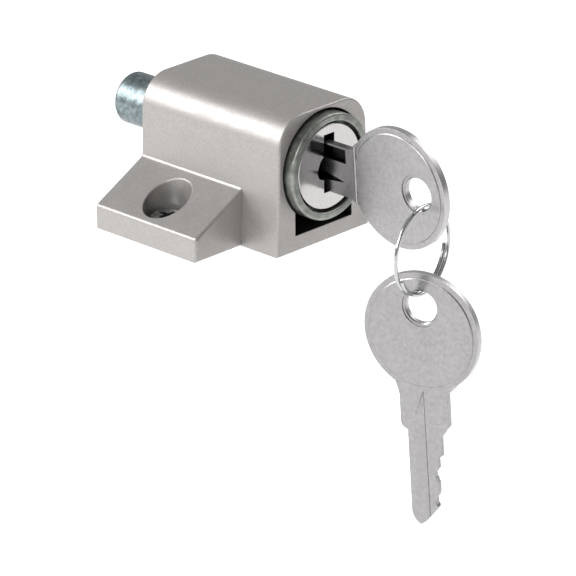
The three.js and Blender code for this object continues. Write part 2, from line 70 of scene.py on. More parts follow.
HALF_WIDTH, HEIGHT, LENGTH = 13.0, 28.5, 38.5
CORNER, DRAFT, DRAFT_DEGREES, END_ROUND = 6.7, 0.028, 1.6044, 0.5
REAR_WALL = 3
FOOT_REACH, FOOT_LENGTH, FOOT_LOW, FOOT_HIGH = 12.76, 28.5, 5.1, 11.9
FOOT_SLOPE = (FOOT_HIGH - FOOT_LOW) / FOOT_REACH
FOOT_EDGE, FOOT_FILLET, FOOT_END_ROUND, FOOT_OVERLAP = 0.8, 0.45, 0.6, 4
HOLE_X, HOLE_Y, HOLE_R, SEAT_Z, SHANK_HOLE_R = 19.5, 24.25, 4.875, 2.3, 2.3
BORE_R, BORE_Z, SLOT_X, SLOT_Z = 11.4, 16.45, 8.0, 3.4
BOLT_CLEARANCE = 0.3
DOG_POCKET = (-3.3, 23.95, 1.3), (3.3, 26.45, SLOT_Z + 1)
PIN_X, PIN_Y, PIN_R = 5.5, 10, 1.35

# ---- sizes: barrel and bolt ----

BARREL_R, AXIS_Z, RIM_FRONT, RIM_IN, BARREL_REAR = 11.0, 16.35, -2.3, 9.35, 26.45
RIM_ROUND, LIP_ROUND, RECESS_FLOOR = 0.6, 0.35, 0.45
LINE_RADII, LINE_DEPTH, LINE_TOP, LINE_FOOT = (9.9, 10.25), 0.07, 0.1, 0.04
KEEL_X, KEEL_FRONT, KEEL_Z = 7.7, 7, 3.75
PLUG_BORE_R, CHAMBER_R, CHAMBER_FRONT = 6.55, 7.9, 21
WAFER_GROOVE = (-2.9, 3.5, AXIS_Z - 7.3), (2.9, 18.1, AXIS_Z + 7.3)
DOG_WAY = (-3.15, 24.1, 2), (3.15, BARREL_REAR + 1, AXIS_Z)
STOP_GROOVE = (4.0, 8.5, 2), (7.0, 25, 6.3)
CARRIER_HOLE_R, CARRIER_HOLE_X, CARRIER_HOLE_FRONT, CARRIER_HOLE_REAR = 1.05, 9.2, 22, 31
BOLT_R, BOLT_Z, BOLT_TIP, BOLT_ROUND = 5.4, 17.15, 54.0, 0.8
FLANGE_R, FLANGE_FRONT, FLANGE_REAR = 6.4, 26.75, 27.65

# ---- sizes: plug ----

DISC_R, DISC_FRONT, DISC_REAR, DISC_EDGE = 8.85, -1.7, 0.2, 0.3
PLUG_R, PLUG_REAR = 6.4, 22.6
CLIP_GROOVE_R, CLIP_GROOVE_FRONT, CLIP_GROOVE_REAR = 5.6, 21.05, 21.85
TAIL = (-2, 21.6, AXIS_Z - 2), (2, 23.35, AXIS_Z + 2)
KEYWAY_X, KEYWAY_Z, KEYWAY_REAR, MOUTH_REAR = 1.2, 4.15, 22, 1.7
MOUTH = (
    [(-1.55, 11.1), (1.35, 11.1), (1.35, 23.2), (-1.55, 23.2)]
    + [(-1.55, 18.7), (-2.2, 18.2), (-2.7, 17.5), (-3.1, 16.6), (-3.25, 15.7), (-3.15, 14.9)]
    + [(-2.8, 14.4), (-2.2, 14.05), (-1.55, 13.9)]
)
WAFERS, FIRST_WAFER, WAFER_STEP, WAFER_HALF = 5, 5, 2.62, 0.55
WAFER_SLOT_X, WAFER_SLOT_Z = 2.75, 7.4
EAR_X, EAR_LOW, EAR_HIGH = 4.55, 2.35, 3.5
WELL_X, WELL_R, WELL_LOW, WELL_HIGH = 3.75, 0.85, 1.3, 4.5

# ---- sizes: keys, along the blade and across it from the bow's centre ----

BOW_R, HALF_KEY, KEY_HOLE_R, KEY_HOLE = 12.57, 0.75, 3.33, (-5.4, 0.28)
BOW_IN_LOCK, BOW_HANGING = (0.0, -20.65, 16.77), (-0.7, -27.39, -11.42)
HOLE_IN_LOCK, HOLE_HANGING = (-0.02, -26.05, 17.05), (-0.71, -27.37, -6.01)
LEAN_IN_LOCK, LEAN_HANGING, HEADING_HANGING = 3.8, 3.2, 285.8
KEY_EDGE, HOLE_CHAMFER, BOW_END = 0.13, 0.28, 2.5
PLATEAU_R, PLATEAU_RISE, PLATEAU_END, PLATEAU_EDGE = 11.4, 0.2, 11.3, 0.16
SUNKEN_WIDTH = 0.75
KEY_OUTLINE = (
    [(11.75, -6.07), (12.35, -5.84), (13.6, -5.55), (19.4, -5.55), (20.2, -5.3), (20.6, -4.8), (21, -4.09)]
    + [(38.5, -4.09), (39.1, -3.87), (39.7, -3.64), (40.3, -3.24), (40.8, -2.7), (41.1, -2.2), (40.5, -1.24)]
    + [(39.7, -0.5), (37.5, 1.42), (36.8, 1.9), (36.2, 1.5), (35, 1.43), (34.2, 2.1), (33.4, 2.3)]
    + [(31.5, 2.28), (30.4, 1.47), (29.6, 1.47), (28.4, 2.42), (26.5, 2.35), (25.7, 3.26), (21.8, 3.26)]
    + [(19.3, 5.08), (12.6, 5.08), (11.88, 5.53), (11.1, 6.6)]
)
RIDGE = [(10.85, -6.2), (11.5, -5.95), (11.5, 6.05), (10.85, 6.25)]
NEAR_GROOVE = [(12.4, -0.35), (15.5, -1.5), (19, -2.6), (50, -2.6), (50, 0.14), (12.5, -0.12)]
NEAR_SLOT = [(12.6, -0.36), (51, -0.18), (51, 0.17), (12.55, -0.1)]
NECK_GROOVE = [(13.7, 1.65), (20.5, 1.65), (20.5, 4.6), (13.7, 4.6)]
FAR_GROOVE = [(20.3, 1.75), (52, 1.75), (52, 6.5), (20.3, 4.5)]
WEDGE_GROOVE = [(14.15, -2.45), (19, -3), (50, -3.3), (50, -1.47), (19, -1.47), (16.6, -1.85)]

# ---- sizes: split ring and mounting screws ----

RING_R, RING_WIRE, RING_PITCH, RING_TURNS = 8.93, 0.82, 0.934, 1.4
RING_CENTRE, RING_HEADING, RING_START = (0.06, -26.48, 5.35), 9.2, -10
RING_STEPS, WIRE_SIDES, WIRE_END = 200, 20, 0.8
SCREW_SEAT, HEAD_HEIGHT, HEAD_R, HEAD_RIM = SEAT_Z + 0.15, 2.3, 3.95, 1.15
HEAD_CROWN_IN, HEAD_FOOT = 1.1, 0.2
SHANK_R, SHANK_POINT_R, SHANK_POINT, SHANK_LOW = 2, 1.4, -1.8, -2.4
CROSS_REACH, CROSS_HALF, CROSS_DEPTH = 2.1, 0.45, 1.5


# ---- mesh helpers ----

def mesh_object(name, bm):
    """A new object from mesh data made in millimetres from the front face."""
    bm.transform(Matrix.Diagonal((MM, MM, MM, 1)) @ Matrix.Translation((0, FRONT, 0)))
    bmesh.ops.recalc_face_normals(bm, faces=bm.faces)
    mesh = bpy.data.meshes.new(name)
    bm.to_mesh(mesh)
    bm.free()
    obj = bpy.data.objects.new(name, mesh)
    bpy.context.scene.collection.objects.link(obj)
    return obj


def arc(cx, cy, radius, start, end, steps=6):
    """Points round (cx, cy) from one angle to another, in degrees."""
    angles = [math.radians(start + (end - start) * i / steps) for i in range(steps + 1)]
    return [(cx + radius * math.cos(a), cy + radius * math.sin(a)) for a in angles]


def circle(cx, cy, radius, sides=64):
    return arc(cx, cy, radius, 0, 360, sides)[:-1]


def full_turn(sides):
    return [2 * math.pi * i / sides for i in range(sides)]


def turned(name, profile, x=0.0, at=0.0, along="Y", sides=96):
    """A lathe-turned body from (radius, distance) points, about Y through (x, z) or Z through (x, y)."""
    bm = bmesh.new()

    def place(radius, distance, turn):
        across, other = x + radius * math.cos(turn), at + radius * math.sin(turn)
        return bm.verts.new((across, distance, other) if along == "Y" else (across, other, distance))

    rings = []
    for radius, distance in profile:
        turns = full_turn(sides) if radius else [0]
        rings.append([place(radius, distance, turn) for turn in turns])
    for one, two in zip(rings, rings[1:]):
        for i in range(sides):
            j = (i + 1) % sides
            corners = [one[i % len(one)], one[j % len(one)], two[j % len(two)], two[i % len(two)]]
            corners = list(dict.fromkeys(corners))
            if len(corners) > 2:
                bm.faces.new(corners)
    return mesh_object(name, bm)


def rod(name, radius, low, high, *place, **facts):
    """A plain round bar between two distances, placed as turned() places its body."""
    return turned(name, [(0, low), (radius, low), (radius, high), (0, high)], *place, **facts)


def inset(outline, distance):
    """A closed outline moved inwards; it runs anticlockwise."""
    moved = []
    for i, point in enumerate(outline):
        before, after = Vector(outline[i - 1]), Vector(outline[(i + 1) % len(outline)])
        one, two = (Vector(point) - before).normalized(), (after - Vector(point)).normalized()
        normal = Vector((-one.y - two.y, one.x + two.x))
        normal = normal / max(normal.length_squared / 2, 0.6)
        moved.append((point[0] + normal.x * distance, point[1] + normal.y * distance))
    return moved


def skin(bm, loops):
    """Closes a solid over loops that have the same number of corners."""
    count = len(loops[0])
    for one, two in zip(loops, loops[1:]):
        for i in range(count):
            j = (i + 1) % count
            bm.faces.new((one[i], one[j], two[j], two[i]))
    bm.faces.new(loops[0])
    bm.faces.new(loops[-1])


def along_y(u, v, distance):
    return u, distance, v


def lofted(name, outline, steps, lift=along_y):
    """A solid through copies of one outline. steps gives (inset, distance); lift places (u, v, distance)."""
    bm = bmesh.new()
    loops = []
    for inwards, distance in steps:
        points = inset(outline, inwards) if inwards else outline
        loops.append([bm.verts.new(lift(u, v, distance)) for u, v in points])
    skin(bm, loops)
    return mesh_object(name, bm)


def prism(name, outline, start, end, lift=along_y):
    return lofted(name, outline, [(0, start), (0, end)], lift)


def block(name, low, high):
    outline = [(low[0], low[2]), (high[0], low[2]), (high[0], high[2]), (low[0], high[2])]
    return prism(name, outline, low[1], high[1])


def rounded_steps(start, end, radius, steps=4):
    """The (inset, distance) steps of a prism whose two end edges are rounded."""
    turns = [math.pi / 2 * i / steps for i in range(steps + 1)]
    first = [(radius * (1 - math.sin(t)), start + radius * (1 - math.cos(t))) for t in turns]
    last = [(inwards, end - (distance - start)) for inwards, distance in reversed(first)]
    return first + last


def combine(obj, operation, *tools):
    """Joins or cuts obj with each tool, and removes the tools."""
    for tool in tools:
        modifier = obj.modifiers.new("combine", "BOOLEAN")
        modifier.operation = operation
        modifier.solver = "EXACT"
        modifier.object = tool
        graph = bpy.context.evaluated_depsgraph_get()
        mesh = bpy.data.meshes.new_from_object(obj.evaluated_get(graph))
        obj.modifiers.clear()
        obj.data = mesh
        bpy.data.objects.remove(tool)
    return obj


def round_edges(obj, chosen, width, segments=3):
    """Rounds the edges whose two ends, in millimetres from the front face, both pass the test."""
    bm = bmesh.new()
    bm.from_mesh(obj.data)
    bmesh.ops.remove_doubles(bm, verts=bm.verts, dist=2e-6)
    bmesh.ops.dissolve_degenerate(bm, edges=bm.edges, dist=1e-6)

    def local(vert):
        return Vector((vert.co.x / MM, vert.co.y / MM - FRONT, vert.co.z / MM))

    edges = [
        edge for edge in bm.edges
        if len(edge.link_faces) == 2 and edge.calc_face_angle(0) > math.radians(20)
        and chosen(local(edge.verts[0])) and chosen(local(edge.verts[1]))
    ]
    bmesh.ops.bevel(bm, geom=edges, offset=width * MM, segments=segments, profile=0.5,
                    affect="EDGES", clamp_overlap=False)
    bm.to_mesh(obj.data)
    bm.free()


def smooth(obj, angle=32):
    """Smooth shading that keeps flat faces flat and edges over the angle sharp."""
    mesh = obj.data
    mesh.polygons.foreach_set("use_smooth", [True] * len(mesh.polygons))
    mesh.set_sharp_from_angle(angle=math.radians(angle))
    weighted = obj.modifiers.new("flat faces", "WEIGHTED_NORMAL")
    weighted.keep_sharp = True


# ---- materials ----

class Finish:
    """A principled material that is built up from node layers."""

    def __init__(self, name, colour, metallic, roughness):
        self.material = bpy.data.materials.new(name)
        self.material.use_nodes = True
        self.tree = self.material.node_tree
        self.shader = self.tree.nodes["Principled BSDF"]
        self.shader.inputs["Metallic"].default_value = metallic
        self.colour = tuple(colour)
        self.coords = self.tree.nodes.new("ShaderNodeTexCoord").outputs["Object"]
        self.heights = []
        self.shader.inputs["Base Color"].default_value = (*colour, 1)
        self.shader.inputs["Roughness"].default_value = roughness

    def noise(self, scale, detail=4.0, rough=0.55, stretch=(1, 1, 1), turn=(0, 0, 0)):
        mapping = self.tree.nodes.new("ShaderNodeMapping")
        mapping.inputs["Scale"].default_value = stretch
        mapping.inputs["Rotation"].default_value = turn
        node = self.tree.nodes.new("ShaderNodeTexNoise")
        node.inputs["Scale"].default_value = scale
        node.inputs["Detail"].default_value = detail
        node.inputs["Roughness"].default_value = rough
        self.tree.links.new(self.coords, mapping.inputs["Vector"])
        self.tree.links.new(mapping.outputs["Vector"], node.inputs["Vector"])
        return node.outputs["Fac"]

    def ramp(self, factor, stops):
        node = self.tree.nodes.new("ShaderNodeValToRGB")
        elements = node.color_ramp.elements
        while len(elements) < len(stops):
            elements.new(0.5)
        for element, (place, colour) in zip(elements, stops):
            element.position = place
            element.color = (*colour, 1)
        self.tree.links.new(factor, node.inputs["Fac"])
        return node.outputs["Color"]

    def span(self, factor, low, high, start=0.3, end=0.7):
        node = self.tree.nodes.new("ShaderNodeMapRange")
        for socket, value in (("From Min", start), ("From Max", end), ("To Min", low), ("To Max", high)):
            node.inputs[socket].default_value = value
        self.tree.links.new(factor, node.inputs["Value"])
        return node.outputs["Result"]

    def compute(self, operation, one, two):
        """One operation on two values, each a number or another node's output."""
        node = self.tree.nodes.new("ShaderNodeMath")
        node.operation = operation
        for socket, value in zip(node.inputs, (one, two)):
            if isinstance(value, (int, float)):
                socket.default_value = value
            else:
                self.tree.links.new(value, socket)
        return node.outputs[0]

    def between(self, axis, low, high):
        """1 where a coordinate, in millimetres from the front face, lies between two values."""
        split = self.tree.nodes.new("ShaderNodeSeparateXYZ")
        self.tree.links.new(self.coords, split.inputs[0])
        shift = FRONT if axis == "Y" else 0.0
        above = self.compute("GREATER_THAN", split.outputs[axis], (low + shift) * MM)
        below = self.compute("LESS_THAN", split.outputs[axis], (high + shift) * MM)
        return self.compute("MULTIPLY", above, below)

    def inside(self, low, high):
        """1 inside a box between two corners."""
        masks = [self.between(axis, a, b) for axis, a, b in zip("XYZ", low, high)]
        return self.compute("MULTIPLY", self.compute("MULTIPLY", masks[0], masks[1]), masks[2])

    def around(self, z, radius, y_low, y_high):
        """1 inside a cylinder along Y at a height, between two distances."""
        split = self.tree.nodes.new("ShaderNodeSeparateXYZ")
        self.tree.links.new(self.coords, split.inputs[0])
        across = self.compute("POWER", split.outputs["X"], 2)
        up = self.compute("POWER", self.compute("SUBTRACT", split.outputs["Z"], z * MM), 2)
        near = self.compute("LESS_THAN", self.compute("ADD", across, up), (radius * MM) ** 2)
        return self.compute("MULTIPLY", near, self.between("Y", y_low, y_high))

    def beyond(self, centre, radius):
        """1 outside a sphere."""
        node = self.tree.nodes.new("ShaderNodeVectorMath")
        node.operation = "DISTANCE"
        node.inputs[1].default_value = (centre[0] * MM, (centre[1] + FRONT) * MM, centre[2] * MM)
        self.tree.links.new(self.coords, node.inputs[0])
        return self.compute("GREATER_THAN", node.outputs["Value"], radius * MM)

    def overlay(self, mask, colour):
        """Puts another colour over the base colour where the mask is 1."""
        base = self.shader.inputs["Base Color"]
        mix = self.tree.nodes.new("ShaderNodeMix")
        mix.data_type = "RGBA"
        self.tree.links.new(mask, mix.inputs["Factor"])
        self.tree.links.new(base.links[0].from_socket, mix.inputs["A"])
        mix.inputs["B"].default_value = (*colour, 1)
        self.tree.links.new(mix.outputs["Result"], base)
        return self

    def tint(self, factor, dark, light, start=0.35, end=0.65):
        shades = [tuple(min(1, c * k) for c in self.colour) for k in (dark, light)]
        colour = self.ramp(factor, [(start, shades[0]), (end, shades[1])])
        self.tree.links.new(colour, self.shader.inputs["Base Color"])
        return self

    def gloss(self, factor, low, high, start=0.3, end=0.7):
        self.tree.links.new(self.span(factor, low, high, start, end), self.shader.inputs["Roughness"])
        return self

    def bump(self, factor, depth, strength=1.0):
        node = self.tree.nodes.new("ShaderNodeBump")
        node.inputs["Distance"].default_value = depth * MM
        node.inputs["Strength"].default_value = strength
        self.tree.links.new(factor, node.inputs["Height"])
        if self.heights:
            self.tree.links.new(self.heights[-1], node.inputs["Normal"])
        self.heights.append(node.outputs["Normal"])
        self.tree.links.new(self.heights[-1], self.shader.inputs["Normal"])
        return self


def cast_finish():
    """Lacquer outside, with painted shade: near-black in the bore and in the slot below it."""
    finish = Finish("cast_lacquer", (0.36, 0.342, 0.33), 0.62, 0.4)
    fine = finish.noise(2300, 3, 0.65)
    broad = finish.noise(260, 4, 0.55)
    finish.tint(fine, 0.92, 1.08)
    bore = finish.around(BORE_Z, BORE_R + 0.1, 0.1, LENGTH - REAR_WALL + 0.1)
    slot = finish.inside((-SLOT_X - 0.05, 0.1, SLOT_Z - 0.1), (SLOT_X + 0.05, LENGTH - REAR_WALL, BORE_Z))
    # Painted shade: the bore and the slot below it are coloured near-black, where shade falls inside them.
    finish.overlay(finish.compute("MAXIMUM", bore, slot), (0.035, 0.036, 0.034))
    finish.gloss(broad, 0.37, 0.48)
    finish.bump(fine, 0.014, 0.5)
    return finish.bump(broad, 0.04, 0.3).material


def raw_zinc_finish():
    """Rough zinc, with painted shade: near-black on the keel where it runs in the slot."""
    finish = Finish("raw_zinc", (0.25, 0.262, 0.24), 0.95, 0.34)
    streaks = finish.noise(900, 5, 0.6, stretch=(1, 3, 1))
    patches = finish.noise(420, 5, 0.65)
    finish.tint(patches, 0.72, 1.25)
    # Painted shade: the keel inside the slot is coloured near-black.
    finish.overlay(finish.inside((-8, 5, 3), (8, 31, 6)), (0.03, 0.03, 0.03))
    finish.gloss(streaks, 0.26, 0.5)
    return finish.bump(streaks, 0.03, 0.7).material


def plug_finish():
    """Satin nickel on the face, and painted shade behind it: near-black in the keyway and on the disc's rim.
    """
    finish = Finish("plug_nickel", (0.5, 0.49, 0.485), 1.0, 0.16)
    haze = finish.noise(1500, 4, 0.6)
    finish.tint(haze, 0.94, 1.04)
    # Painted shade: everything behind the face disc's front is coloured near-black.
    finish.overlay(finish.between("Y", DISC_FRONT + 0.12, LENGTH), (0.012, 0.012, 0.012))
    finish.gloss(haze, 0.12, 0.22)
    return finish.bump(haze, 0.002, 0.5).material


def painted_highlight_edges(finish, width=0.11):
    """1 on the rims of the two bows and of their holes, where a lighter painted highlight goes."""
    bows = [finish.beyond(bow, BOW_R - width) for bow in (BOW_IN_LOCK, BOW_HANGING)]
    round_bows = finish.inside((-20, -60, -22.2), (20, -9.7, 40))
    rims = finish.compute("MULTIPLY", finish.compute("MULTIPLY", *bows), round_bows)
    holes = [
        finish.compute("SUBTRACT", 1, finish.beyond(hole, KEY_HOLE_R + width))
        for hole in (HOLE_IN_LOCK, HOLE_HANGING)
    ]
    return finish.compute("MAXIMUM", rims, finish.compute("MAXIMUM", *holes))


def key_finish():
    """Fine-grained satin nickel, with painted shade: near-black in the neck's groove recesses of the key in
    the lock, and a lighter painted highlight on the rims of the bows and their holes.
    """
    finish = Finish("key_nickel", (0.33, 0.322, 0.326), 1.0, 0.3)
    grain = finish.noise(2600, 5, 0.7)
    patches = finish.noise(150, 4, 0.6)
    specks = finish.noise(1100, 6, 0.75)
    finish.tint(specks, 0.88, 1.12)
    groove_shade = finish.inside((-0.45, -7.2, 13.3), (0.4, 21, 21.4))
    # Painted shade: the groove recesses of the neck of the key in the lock are coloured near-black.
    finish.overlay(groove_shade, (0.02, 0.02, 0.02))
    # Painted highlight: the rims of the bows and of their holes are made lighter.
    finish.overlay(painted_highlight_edges(finish), (0.46, 0.45, 0.45))
    finish.gloss(patches, 0.26, 0.4)
    finish.bump(grain, 0.006, 0.5)
    return finish.bump(patches, 0.02, 0.35).material


def chrome_finish():
    finish = Finish("ring_chrome", (0.5, 0.5, 0.5), 1.0, 0.12)
    haze = finish.noise(1800, 3, 0.5)
    finish.gloss(haze, 0.08, 0.18)
    return finish.tint(haze, 0.92, 1.06).material


def bolt_finish():
    finish = Finish("bolt_plate", (0.165, 0.2, 0.21), 1.0, 0.32)
    blotches = finish.noise(900, 8, 0.72)
    finish.tint(blotches, 0.6, 1.6, 0.38, 0.64)
    finish.gloss(blotches, 0.3, 0.45)
    return finish.bump(blotches, 0.01, 0.5).material


def zinc_plate_finish():
    finish = Finish("zinc_plate", (0.4, 0.41, 0.42), 1.0, 0.26)
    haze = finish.noise(1200, 4, 0.6)
    finish.tint(haze, 0.85, 1.1)
    finish.gloss(haze, 0.2, 0.34)
    return finish.bump(haze, 0.006, 0.5).material


def spring_finish():
    finish = Finish("spring_steel", (0.3, 0.3, 0.31), 1.0, 0.28)
    drawn = finish.noise(1500, 3, 0.5)
    finish.tint(drawn, 0.85, 1.1)
    return finish.gloss(drawn, 0.22, 0.36).material


def brass_finish():
    finish = Finish("wafer_brass", (0.55, 0.42, 0.19), 1.0, 0.3)
    grain = finish.noise(1600, 4, 0.6)
    finish.tint(grain, 0.85, 1.08)
    finish.gloss(grain, 0.24, 0.38)
    return finish.bump(grain, 0.006, 0.5).material


MATERIALS = {
    "cast_housing": cast_finish(),
    "raw_zinc": raw_zinc_finish(),
    "plug_nickel": plug_finish(),
    "key_nickel": key_finish(),
    "ring_steel": chrome_finish(),
    "bolt_plate": bolt_finish(),
    "zinc_plate": zinc_plate_finish(),
    "spring_steel": spring_finish(),
    "wafer_brass": brass_finish(),
}


def fit(obj, body, slot, node):
    """Gives a piece its material, body and slot, and lets it stand for a CAD node."""
    obj.data.materials.clear()
    obj.data.materials.append(MATERIALS[slot])
    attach(obj, body)
    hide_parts(node)


# ---- housing ----

def housing_outline():
    shoulder_z = HEIGHT - CORNER
    centre = HALF_WIDTH - DRAFT * shoulder_z - CORNER
    right = arc(centre, shoulder_z, CORNER, -DRAFT_DEGREES, 90, 16)
    left = [(-x, z) for x, z in reversed(right)]
    return [(HALF_WIDTH, 0)] + right + left + [(-HALF_WIDTH, 0)]


def foot(side):
    """A wedge foot with a rounded outer edge and a fillet where its slope meets the wall."""
    outer, inner = HALF_WIDTH + FOOT_REACH, HALF_WIDTH - FOOT_OVERLAP
    slope = math.degrees(math.atan(FOOT_SLOPE))
    top = arc(outer - FOOT_EDGE, FOOT_LOW - FOOT_EDGE * 0.75, FOOT_EDGE, 0, 90 - slope, 5)
    meet_x, meet_z = HALF_WIDTH - DRAFT * FOOT_HIGH, FOOT_HIGH + 0.6 * FOOT_FILLET
    fillet = [(meet_x + FOOT_FILLET, FOOT_HIGH - FOOT_SLOPE * FOOT_FILLET)]
    fillet += [(meet_x + 0.45 * FOOT_FILLET, FOOT_HIGH + 0.02), (meet_x + 0.05, meet_z)]
    outline = [(inner, 0), (outer, 0)] + top + fillet + [(inner, meet_z)]

    def place(u, v, distance):
        return side * u, distance, v

    return lofted("foot", outline, rounded_steps(LENGTH - FOOT_LENGTH, LENGTH, FOOT_END_ROUND), place)


def foot_hole(side):
    seat = [(0, -1), (SHANK_HOLE_R, -1), (SHANK_HOLE_R, SEAT_Z), (HOLE_R, SEAT_Z), (HOLE_R, 15), (0, 15)]
    return turned("foot_hole", seat, side * HOLE_X, HOLE_Y, "Z")


def in_foot_hole_rim(p):
    off = math.hypot(abs(p.x) - HOLE_X, p.y - HOLE_Y)
    return abs(off - HOLE_R) < 0.02 and p.z > SEAT_Z + 1


def on_front_opening(p):
    in_bore = math.hypot(p.x, p.z - BORE_Z) < BORE_R + 0.05
    in_slot = abs(p.x) < SLOT_X + 0.05 and p.z < BORE_Z
    return abs(p.y) < 0.01 and p.z > 1.5 and (in_bore or in_slot)


def housing():
    body = lofted("housing_shell", housing_outline(), rounded_steps(0, LENGTH, END_ROUND))
    combine(body, "UNION", foot(-1), foot(1))
    inner = LENGTH - REAR_WALL
    combine(
        body, "DIFFERENCE",
        rod("bore", BORE_R, -1, inner, 0, BORE_Z, sides=128),
        block("slot", (-SLOT_X, -1, SLOT_Z), (SLOT_X, inner, BORE_Z)),
        rod("bolt_way", BOLT_R + BOLT_CLEARANCE, inner - 1, inner + 9, 0, BOLT_Z),
        block("dog_pocket", *DOG_POCKET),
        rod("pin_hole", PIN_R, -1, SLOT_Z + 1, PIN_X, PIN_Y, "Z", 32),
        foot_hole(-1),
        foot_hole(1),
    )
    round_edges(body, in_foot_hole_rim, 0.28)
    round_edges(body, on_front_opening, 0.12, 2)
    smooth(body)
    fit(body, "case", "cast_housing", "housing")


# ---- barrel and bolt ----

def barrel_profile():
    """From the recess for the face disc, over the rim with its two turned lines, to the rear."""
    rim = arc(BARREL_R - RIM_ROUND, RIM_FRONT + RIM_ROUND, RIM_ROUND, 0, -90, 8)
    lip = arc(RIM_IN + LIP_ROUND, RIM_FRONT + LIP_ROUND, LIP_ROUND, -90, -180, 4)
    floor_y = RIM_FRONT + LINE_DEPTH
    lines = []
    for radius in LINE_RADII:
        lines += [(radius - LINE_TOP, RIM_FRONT), (radius - LINE_FOOT, floor_y)]
        lines += [(radius + LINE_FOOT, floor_y), (radius + LINE_TOP, RIM_FRONT)]
    recess, rear = [(0, RECESS_FLOOR), (RIM_IN, RECESS_FLOOR)], [(BARREL_R, BARREL_REAR), (0, BARREL_REAR)]
    return recess + lip[::-1] + lines + rim[::-1] + rear


def carrier_hole(side):
    x = side * CARRIER_HOLE_X
    return rod("carrier_hole", CARRIER_HOLE_R, CARRIER_HOLE_FRONT, CARRIER_HOLE_REAR, x, AXIS_Z, sides=24)


def barrel():
    body = turned("barrel_shell", barrel_profile(), 0, AXIS_Z, sides=128)
    combine(body, "UNION", block("keel", (-KEEL_X, KEEL_FRONT, KEEL_Z), (KEEL_X, BARREL_REAR, AXIS_Z)))
    combine(
        body, "DIFFERENCE",
        rod("plug_bore", PLUG_BORE_R, 0, BARREL_REAR, 0, AXIS_Z),
        block("wafer_groove", *WAFER_GROOVE),
        rod("chamber", CHAMBER_R, CHAMBER_FRONT, BARREL_REAR + 1, 0, AXIS_Z),
        block("dog_way", *DOG_WAY),
        block("stop_groove", *STOP_GROOVE),
        carrier_hole(-1),
        carrier_hole(1),
    )
    smooth(body)
    fit(body, "slider", "raw_zinc", "barrel")


def bolt():
    profile = [(0, FLANGE_FRONT), (FLANGE_R, FLANGE_FRONT), (FLANGE_R, FLANGE_REAR), (BOLT_R, FLANGE_REAR)]
    profile += arc(BOLT_R - BOLT_ROUND, BOLT_TIP - BOLT_ROUND, BOLT_ROUND, 0, 90, 8) + [(0, BOLT_TIP)]
    body = turned("bolt_bar", profile, 0, BOLT_Z)
    smooth(body)
    fit(body, "slider", "bolt_plate", "bolt")


# ---- plug ----

def plug_profile():
    edge = arc(DISC_R - DISC_EDGE, DISC_FRONT + DISC_EDGE, DISC_EDGE, -90, 0, 5)
    disc = [(0, DISC_FRONT)] + edge + [(DISC_R, DISC_REAR), (PLUG_R, DISC_REAR)]
    groove = [(PLUG_R, CLIP_GROOVE_FRONT), (CLIP_GROOVE_R, CLIP_GROOVE_FRONT)]
    groove += [(CLIP_GROOVE_R, CLIP_GROOVE_REAR), (PLUG_R, CLIP_GROOVE_REAR)]
    return disc + groove + [(PLUG_R, PLUG_REAR), (0, PLUG_REAR)]


def wafer_cuts(y):
    """The slot of one wafer, the slot of its ear and the well of its spring."""
    front, rear = y - WAFER_HALF, y + WAFER_HALF
    slot_low, slot_high = AXIS_Z - WAFER_SLOT_Z, AXIS_Z + WAFER_SLOT_Z
    return (
        block("wafer_slot", (-WAFER_SLOT_X, front, slot_low), (WAFER_SLOT_X, rear, slot_high)),
        block("ear_slot", (0, front, AXIS_Z - EAR_LOW), (EAR_X, rear, AXIS_Z + EAR_HIGH)),
        rod("spring_well", WELL_R, AXIS_Z - WELL_LOW, AXIS_Z + WELL_HIGH, WELL_X, y, "Z", 24),
    )


def on_keyway_mouth(p):
    return p.y < DISC_FRONT + 0.02 and math.hypot(p.x, p.z - AXIS_Z) < 8


def plug():
    """The face disc with its keyway, the plug behind it and its wafer slots."""
    body = turned("plug_shell", plug_profile(), 0, AXIS_Z)
    front = DISC_FRONT - 1
    low, high = (-KEYWAY_X, front, AXIS_Z - KEYWAY_Z), (KEYWAY_X, KEYWAY_REAR, AXIS_Z + KEYWAY_Z)
    combine(body, "UNION", block("tail", *TAIL))
    combine(body, "DIFFERENCE", block("keyway", low, high), prism("mouth", MOUTH, front, MOUTH_REAR))
    for i in range(WAFERS):
        combine(body, "DIFFERENCE", *wafer_cuts(FIRST_WAFER + WAFER_STEP * i))
    round_edges(body, on_keyway_mouth, 0.1, 2)
    smooth(body)
    fit(body, "cylinder", "plug_nickel", "plug")


# ---- keys ----

def key_axes(node):
    """The directions along a key's blade and across it, with the bow's centre."""
    if node == "key":
        lean = math.radians(LEAN_IN_LOCK)
        return Vector((0, 1, 0)), Vector((-math.sin(lean), 0, math.cos(lean))), Vector(BOW_IN_LOCK)
    turn, lean = math.radians(HEADING_HANGING), math.radians(LEAN_HANGING)
    side, down = Vector((math.cos(turn), math.sin(turn), 0)), Vector((0, 0, -1))
    along = down * math.cos(lean) + side * math.sin(lean)
    across = side * math.cos(lean) - down * math.sin(lean)
    return along, across, Vector(BOW_HANGING)


def key_blank(name, place):
    """The bow and the cut blade as one plate with broken edges."""
    first, last = KEY_OUTLINE[0], KEY_OUTLINE[-1]
    start = math.degrees(math.atan2(last[1], last[0])) + BOW_END
    end = 360 + math.degrees(math.atan2(first[1], first[0])) - BOW_END
    outline = arc(0, 0, BOW_R, start, end, 96) + KEY_OUTLINE
    edge = KEY_EDGE
    steps = [(edge, -HALF_KEY), (edge * 0.3, -HALF_KEY + edge * 0.3), (0, -HALF_KEY + edge)]
    steps += [(0, HALF_KEY - edge), (edge * 0.3, HALF_KEY - edge * 0.3), (edge, HALF_KEY)]
    return lofted(name, outline, steps, place)


